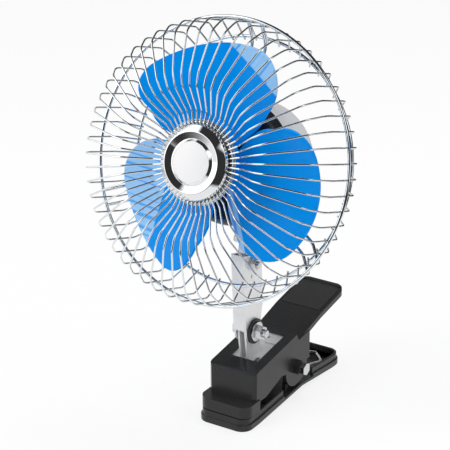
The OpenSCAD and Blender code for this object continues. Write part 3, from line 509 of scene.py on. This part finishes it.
def springCoil(s):  # one coil about the hinge, from the free leg to the loop's leg
    turns = s["turns"] + (180 - s["legUp"] - s["legDown"]) / 360
    width = turns * (2 * s["wire"] + s["gap"])
    count = round(turns * s["steps"])
    coil = []
    for k in range(count + 1):
        a = math.radians(90 + s["legUp"] + k / count * turns * 360)
        x = s["inside"] + k / count * width
        coil.append(Vector((x, s["coil"] * math.cos(a), hingeAt.z / mm + s["coil"] * math.sin(a))))
    return coil


def makeSpring(s):
    coil = springCoil(s)
    up, down = math.radians(s["legUp"]), math.radians(s["legDown"])
    freeEnd = coil[0] + s["free"] * Vector((0, math.cos(up), math.sin(up)))
    leave = coil[-1] + 2 * s["wire"] * Vector((0, math.cos(down), -math.sin(down)))
    half = [freeEnd] + coil + [leave] + [Vector(p) for p in s["loop"]]
    bends = [0] * (len(coil) + 1) + s["loopBends"]
    points = half + [Vector((-p.x, p.y, p.z)) for p in reversed(half)]
    host = wireHost("clampSpring", points, bends + bends[::-1])
    sizes = {"Wire Radius": s["wire"] * mm, "Sides": s["sides"], "Bend Steps": s["bendSteps"],
             "Count": 1, "Start Angle": 0.0, "Finish": finishes["springWire"]}
    piece = grow("clampSpring", host, bentWires, Matrix.Translation((0, hingeAt.y, 0)), sizes)
    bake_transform(piece)
    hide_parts("clamp_spring")


makeSpring(springSet)
print("spring wound")


# turned pieces about the fan's axis
def roundedLine(points, steps=5):  # (radius, depth, bend) corners to a line with round bends
    out = []
    for i, (r, y, bend) in enumerate(points):
        p = Vector((r, y))
        if bend <= 0 or i in (0, len(points) - 1):
            out.append(p)
            continue
        a = (Vector(points[i - 1][:2]) - p).normalized()
        b = (Vector(points[i + 1][:2]) - p).normalized()
        angle = a.angle(b)
        reach = bend / math.tan(angle / 2)
        centre = p + (a + b).normalized() * (bend / math.sin(angle / 2))
        start, end = p + a * reach - centre, p + b * reach - centre
        sweep = math.atan2(start.x * end.y - start.y * end.x, start.dot(end))
        out += [centre + Matrix.Rotation(sweep * k / steps, 2) @ start for k in range(steps + 1)]
    return out


turnSet = {"merge": 0.01, "sharp": 35.0}


def turned(name, line, steps, place, finish):
    bm = bmesh.new()
    verts = [bm.verts.new((p.x * mm, p.y * mm, 0)) for p in line]
    edges = [bm.edges.new((a, b)) for a, b in zip(verts, verts[1:])]
    bmesh.ops.spin(bm, geom=verts + edges, cent=(0, 0, 0), axis=(0, 1, 0), angle=2 * math.pi, steps=steps,
                   use_duplicate=False)
    bmesh.ops.remove_doubles(bm, verts=bm.verts, dist=turnSet["merge"] * mm)
    bmesh.ops.recalc_face_normals(bm, faces=bm.faces)
    mesh = bpy.data.meshes.new(name)
    bm.to_mesh(mesh)
    bm.free()
    smoothFaces(mesh)
    mesh.set_sharp_from_angle(angle=math.radians(turnSet["sharp"]))
    mesh.transform(place)
    mesh.materials.append(finish)
    return newPiece(name, mesh)


badgeSet = {"front": -39.0, "rim": -33.2, "radius": 26.5, "disc": 14.2, "valley": 16.2, "dish": 1.6,
            "crown": 21.2, "edge": 25.8, "fall": 3.1, "boss": 5.0, "bossEnd": -29.4, "lip": 0.1,
            "lipWide": 0.25, "seat": 1.2, "back": 3.4, "rimTall": 0.9, "rimWide": 1.8, "discGap": 0.05,
            "capSteps": 128, "discSteps": 96}


def makeBadge(b):  # a crowned ring round a raised disc, with a valley between them
    front, rim, radius, disc = b["front"], b["rim"], b["radius"], b["disc"]
    seat, lip, back = front + b["seat"], front + b["lip"], front + b["back"]
    outside = [(0, seat, 0), (disc, seat, 0.1), (disc, lip, 0.1), (disc + b["lipWide"], lip, 0.15),
               (b["valley"], front + b["dish"], 0.3), (b["crown"], front, 1.2),
               (b["edge"], front + b["fall"], 0.6), (radius, rim - b["rimTall"], 0.5), (radius, rim, 0.2),
               (radius - b["rimWide"], rim, 0.2), (b["crown"], back, 2.0), (disc, back, 0.5),
               (b["boss"], back, 0.3), (b["boss"], b["bossEnd"], 0), (0, b["bossEnd"], 0)]
    cap = turned("badgeCap", roundedLine(outside), b["capSteps"], headFrame, finishes["chromeBadge"])
    standFor(cap, "badge_cap")
    side, under = disc - b["discGap"], seat - b["discGap"]
    face = [(0, lip, 0), (side, lip, 0.2), (side, under, 0.1), (0, under, 0)]
    plate = turned("badgeDisc", roundedLine(face), b["discSteps"], headFrame, finishes["turnedDisc"])
    standFor(plate, "badge_disc")


makeBadge(badgeSet)
print("badge turned")


# impeller: dished petals on a turned hub
bladeSet = {"blades": 3, "radius": 82.0, "inner": 14.0, "lead": 43.0, "trail": 56.0, "leadCorner": 20.0,
            "trailCorner": 27.0, "leadBow": 8.0, "trailBow": 4.0, "pitch": 13.5, "dish": 120.0, "mid": 0.0,
            "thick": 1.8, "edge": 0.6, "corner": 60.0, "sharp": 50.0, "at": 109.0, "rows": 26, "columns": 30,
            "crowding": 1.7, "hub": 16.0, "hubFrom": -14.0, "hubTo": 2.0, "bore": 2.55, "hubSteps": 72,
            "groove": (6.5, 7.0, 11.0, 11.5), "grooveDeep": 1.5, "ribReflectionAlong": (-0.6, 0.8),
            "paleReflectionLine": ((0.8, 0.6, 62.0), (0.8, 0.6, 40.0), (0.6, -0.8, -3.0))}


def bladeEdge(b, r, side):  # angle of an edge from the blade's middle at a radius, + to the front edge
    end = "lead" if side > 0 else "trail"
    reach, corner, bow = b[end], b[end + "Corner"], b[end + "Bow"]
    cornerAt = b["radius"] - corner
    straight = math.sqrt(cornerAt * cornerAt - corner * corner)
    if r <= straight:
        s = (r - b["inner"]) / (straight - b["inner"])
        return side * (reach + 4 * bow * s * (1 - s))
    middle = reach - math.degrees(math.asin(corner / cornerAt))
    cosine = (r * r + cornerAt * cornerAt - corner * corner) / (2 * r * cornerAt)
    return side * (middle + math.degrees(math.acos(min(1, cosine))))


def bladeDepth(b, x):
    p = math.radians(b["pitch"])
    across = x - b["dish"] * math.sin(p)
    return b["mid"] - b["dish"] * math.cos(p) + math.sqrt(b["dish"] ** 2 - across ** 2)


def petalSheet(b):  # one blade without thickness, standing up from the axis, rows crowded to the rim
    verts, faces, along = [], [], []
    alongX, alongZ = b["ribReflectionAlong"]
    for i in range(b["rows"] + 1):
        s = i / b["rows"]
        r = b["inner"] + (b["radius"] - b["inner"]) * (1 - (1 - s) ** b["crowding"])
        low, high = bladeEdge(b, r, -1), bladeEdge(b, r, 1)
        for j in range(b["columns"] + 1):
            a = math.radians(90 + low + (high - low) * j / b["columns"])
            x, z = r * math.cos(a), r * math.sin(a)
            verts.append((x * mm, bladeDepth(b, x) * mm, z * mm))
            along.append(alongX * x + alongZ * z)
    w = b["columns"] + 1
    for i in range(b["rows"]):
        for j in range(b["columns"]):
            faces.append((i * w + j, i * w + j + 1, (i + 1) * w + j + 1, (i + 1) * w + j))
    mesh = bpy.data.meshes.new("blade")
    mesh.from_pydata(verts, [], faces)
    # these attributes say where the painted floor reflection and the painted rib reflections fall
    mesh.attributes.new("pastReflectionLine", "FLOAT", "POINT")
    mesh.attributes.new("ribReflectionPlace", "FLOAT", "POINT").data.foreach_set("value", along)
    return mesh


def makePetal(b):
    petal = newPiece("blade", petalSheet(b))
    wall = petal.modifiers.new("wall", "SOLIDIFY")
    wall.thickness = b["thick"] * mm
    wall.offset = 0
    easeEdges(petal, b["edge"], b["corner"])
    settle(petal)
    cleanNormals(petal.data)
    return petal


def makeHub(b):  # a ring groove in its front, and none of the blades' painted floor reflection
    front, floor = b["hubFrom"], b["hubFrom"] + b["grooveDeep"]
    inTop, inFoot, outFoot, outTop = b["groove"]
    line = [(b["bore"], front, 0), (inTop, front, 0.3), (inFoot, floor, 0.4), (outFoot, floor, 0.4),
            (outTop, front, 0.4), (b["hub"], front, 2.0), (b["hub"], b["hubTo"], 0.6),
            (b["bore"], b["hubTo"], 0), (b["bore"], front, 0)]
    hub = turned("impellerHub", roundedLine(line), b["hubSteps"], Matrix(), finishes["blueBlade"])
    layer = hub.data.attributes.new("pastReflectionLine", "FLOAT", "POINT")
    layer.data.foreach_set("value", [-1.0] * len(hub.data.vertices))
    return hub


def makeImpeller(b):
    petal = makePetal(b)
    hub = makeHub(b)
    places = [(v.co.x / mm, v.co.z / mm) for v in petal.data.vertices]
    bm = bmesh.new()
    bm.from_mesh(hub.data)
    for k in range(b["blades"]):
        copy = petal.data.copy()
        copy.transform(Matrix.Rotation(math.radians(90 - b["at"] - 360 / b["blades"] * k), 4, "Y"))
        # each blade's painted floor reflection begins past its own slanting line
        lineX, lineZ, start = b["paleReflectionLine"][k]
        past = [lineX * x + lineZ * z - start for x, z in places]
        copy.attributes["pastReflectionLine"].data.foreach_set("value", past)
        bm.from_mesh(copy)
        bpy.data.meshes.remove(copy)
    whole = bpy.data.meshes.new("impellerBlades")
    bm.to_mesh(whole)
    bm.free()
    whole.transform(headFrame)
    smoothFaces(whole)
    whole.set_sharp_from_angle(angle=math.radians(b["sharp"]))
    whole.materials.append(finishes["blueBlade"])
    bpy.data.objects.remove(petal)
    bpy.data.objects.remove(hub)
    standFor(newPiece("impellerBlades", whole), "impeller")


makeImpeller(bladeSet)
print("impeller moulded")


# clamp, stem and fasteners: the CAD shape with its edges eased
edgeSet = {"lower_jaw": 0.8, "upper_jaw": 0.9, "lower_pad": 0.4, "upper_pad": 0.3, "bracket": 0.3,
           "stem_channel": 0.35, "pivot_bolt": 0.35, "pivot_nut": 0.35, "pivot_disc": 0.35,
           "pivot_washer": 0.25, "tilt_bolt": 0.3, "tilt_nut": 0.3, "tilt_washer": 0.25, "hinge_bolt": 0.4,
           "hinge_nut": 0.4, "neck": 0.5, "motor_cap": 0.4, "motor_housing": 0.4, "cord_grommet": 0.35,
           "strut_screws": 0.4, "badge_back": 0.3, "bracket_rivets": 0.2, "blade_nut": 0.3,
           "badge_screw": 0.2}
easeSet = {"merge": 0.004, "flat": 0.8, "corner": 32.0}


def makeEased(node, width, e):
    obj = newPiece(pieceName(node), nodes[node].data.copy())
    bm = bmesh.new()
    bm.from_mesh(obj.data)
    bmesh.ops.remove_doubles(bm, verts=bm.verts, dist=e["merge"] * mm)
    bmesh.ops.dissolve_limit(bm, angle_limit=math.radians(e["flat"]), verts=bm.verts, edges=bm.edges)
    bm.to_mesh(obj.data)
    bm.free()
    easeEdges(obj, width, e["corner"])
    even = obj.modifiers.new("even", "WEIGHTED_NORMAL")
    even.keep_sharp = True
    smoothFaces(obj.data)
    settle(obj)
    finish = "capPlastic" if node == "motor_cap" else slotFinish[nodeSlot[node]]
    obj.data.materials.clear()
    obj.data.materials.append(finishes[finish])
    standFor(obj, node)
    return obj


eased = {node: makeEased(node, width, easeSet) for node, width in edgeSet.items()}
gripSet = {"from": 0.1005, "to": 0.1335, "facing": 0.9, "area": 0.0007}


def gripFaces(mesh, g):  # the handle's raised pad is rougher than the rest of the lever
    mesh.materials.append(finishes["gripPlastic"])
    for face in mesh.polygons:
        if face.normal.z > g["facing"] and face.area > g["area"] and g["from"] < face.center.y < g["to"]:
            face.material_index = 1


gripFaces(eased["upper_jaw"].data, gripSet)
print("edges eased:", len(eased))

# camera, floor and light
scene = bpy.context.scene
cameraSet = {"place": (0.69464, -1.09219, 0.7053), "azimuth": 32.6, "elevation": 23.0, "lens": 160.0,
             "sensor": 36.0, "far": 20.0}


def makeCamera(c):
    cam = bpy.data.cameras.new("photoCamera")
    cam.lens = c["lens"]
    cam.sensor_width = c["sensor"]
    cam.sensor_fit = "HORIZONTAL"
    cam.clip_end = c["far"]
    obj = bpy.data.objects.new("photoCamera", cam)
    obj.location = c["place"]
    obj.rotation_euler = (math.radians(90 - c["elevation"]), 0, math.radians(c["azimuth"]))
    scene.collection.objects.link(obj)
    scene.camera = obj


# what mirrors see: bands run from the first value to the second, of a direction or of a place on the floor
roomSet = {"dim": 0.035, "screen": 1.9, "left": (-0.38, -0.5), "right": (0.3, 0.42), "high": (0.42, 0.52),
           "beside": (-0.62, -0.5), "rim": (0.9, 0.96), "front": (0.05, -0.15), "low": (0.6, 0.4),
           "behind": 0.4, "soft": 0.55}
floorSet = {"half": 6.0, "tone": 0.9, "rough": 0.9, "lit": 0.8, "near": (0.45, 0.6), "left": (-0.3, -0.8)}


def makeFloor(f, dim):  # white but for the shadow, and in mirrors only near the object and to the left
    h, tone = f["half"], f["tone"]
    mesh = bpy.data.meshes.new("floor")
    mesh.from_pydata([(-h, -h, 0), (h, -h, 0), (h, h, 0), (-h, h, 0)], [], [(0, 1, 2, 3)])
    mat, tree, shader = newFinish("paleFloor", Base_Color=(tone, tone, tone, 1), Roughness=f["rough"])
    path = addNode(tree, "ShaderNodeLightPath").outputs
    glossy = path["Is Glossy Ray"]
    seen = combined(tree, "MAXIMUM", path["Is Camera Ray"], glossy)
    seen = combined(tree, "MAXIMUM", seen, path["Is Transmission Ray"])
    spot = addNode(tree, "ShaderNodeNewGeometry").outputs["Position"]
    away = addNode(tree, "ShaderNodeVectorMath", {0: spot}, operation="LENGTH").outputs["Value"]
    side = addNode(tree, "ShaderNodeSeparateXYZ", {0: spot}).outputs["X"]
    near = ranged(tree, away, *f["near"], 1.0, dim)
    bright = combined(tree, "MAXIMUM", near, ranged(tree, side, *f["left"]))
    level = ranged(tree, glossy, 0.0, 1.0, 1.0, bright)
    share = combined(tree, "MULTIPLY", seen, ranged(tree, glossy, 0.0, 1.0, f["lit"], 1.0))
    glow = addNode(tree, "ShaderNodeEmission", {"Color": (1, 1, 1, 1), "Strength": level})
    mix = addNode(tree, "ShaderNodeMixShader", {0: share, 1: shader.outputs[0], 2: glow.outputs[0]})
    tree.links.new(mix.outputs[0], tree.nodes["Material Output"].inputs["Surface"])
    mesh.materials.append(mat)
    newPiece("floor", mesh)


def whiteLight(tree, strength):
    return addNode(tree, "ShaderNodeBackground", {"Color": (1, 1, 1, 1), "Strength": strength}).outputs[0]


def makeWorld(r):  # white behind the object, soft light all round, a dim room with pale screens for mirrors
    world = bpy.data.worlds.new("studio")
    scene.world = world
    world.use_nodes = True
    tree = world.node_tree
    path = addNode(tree, "ShaderNodeLightPath").outputs
    seen = combined(tree, "MAXIMUM", path["Is Camera Ray"], path["Is Transmission Ray"])
    toward = addNode(tree, "ShaderNodeTexCoord").outputs["Generated"]
    x, y, z = addNode(tree, "ShaderNodeSeparateXYZ", {0: toward}).outputs
    right = combined(tree, "MULTIPLY", ranged(tree, x, *r["right"]), ranged(tree, z, *r["high"]))
    right = combined(tree, "MULTIPLY", right, ranged(tree, y, *r["beside"]))
    right = combined(tree, "MAXIMUM", right, ranged(tree, x, *r["rim"]))
    sides = combined(tree, "MAXIMUM", ranged(tree, x, *r["left"]), right)
    behind = ranged(tree, z, *r["low"], 0.0, r["behind"])
    screens = combined(tree, "MULTIPLY", sides, ranged(tree, y, *r["front"], behind))
    room = whiteLight(tree, ranged(tree, screens, 0.0, 1.0, r["dim"], r["screen"]))
    mirror = {0: path["Is Glossy Ray"], 1: whiteLight(tree, r["soft"]), 2: room}
    lit = addNode(tree, "ShaderNodeMixShader", mirror).outputs[0]
    mix = addNode(tree, "ShaderNodeMixShader", {0: seen, 1: lit, 2: whiteLight(tree, 1.0)})
    tree.links.new(mix.outputs[0], tree.nodes["World Output"].inputs["Surface"])


lampSet = {"keyLight": {"place": (-0.9, -1.3, 1.5), "size": (0.9, 0.9), "power": 17.0},
           "sideLight": {"place": (1.5, 0.2, 0.9), "size": (0.7, 1.0), "power": 4.0},
           "topLight": {"place": (0.1, 0.5, 1.6), "size": (1.0, 0.6), "power": 9.0}}
lampTarget = Vector((0, 0, 0.15))


def addLamp(name, place, size, power):
    lamp = bpy.data.lights.new(name, "AREA")
    lamp.shape = "RECTANGLE"
    lamp.size, lamp.size_y = size
    lamp.energy = power
    obj = bpy.data.objects.new(name, lamp)
    obj.location = place
    obj.rotation_euler = (lampTarget - Vector(place)).to_track_quat("-Z", "Y").to_euler()
    obj.visible_glossy = False  # mirrors show the screens instead
    scene.collection.objects.link(obj)


makeCamera(cameraSet)
makeFloor(floorSet, roomSet["dim"])
makeWorld(roomSet)
for name, lamp in lampSet.items():
    addLamp(name, **lamp)
scene.view_settings.view_transform = "Standard"
print("camera, floor and light set")
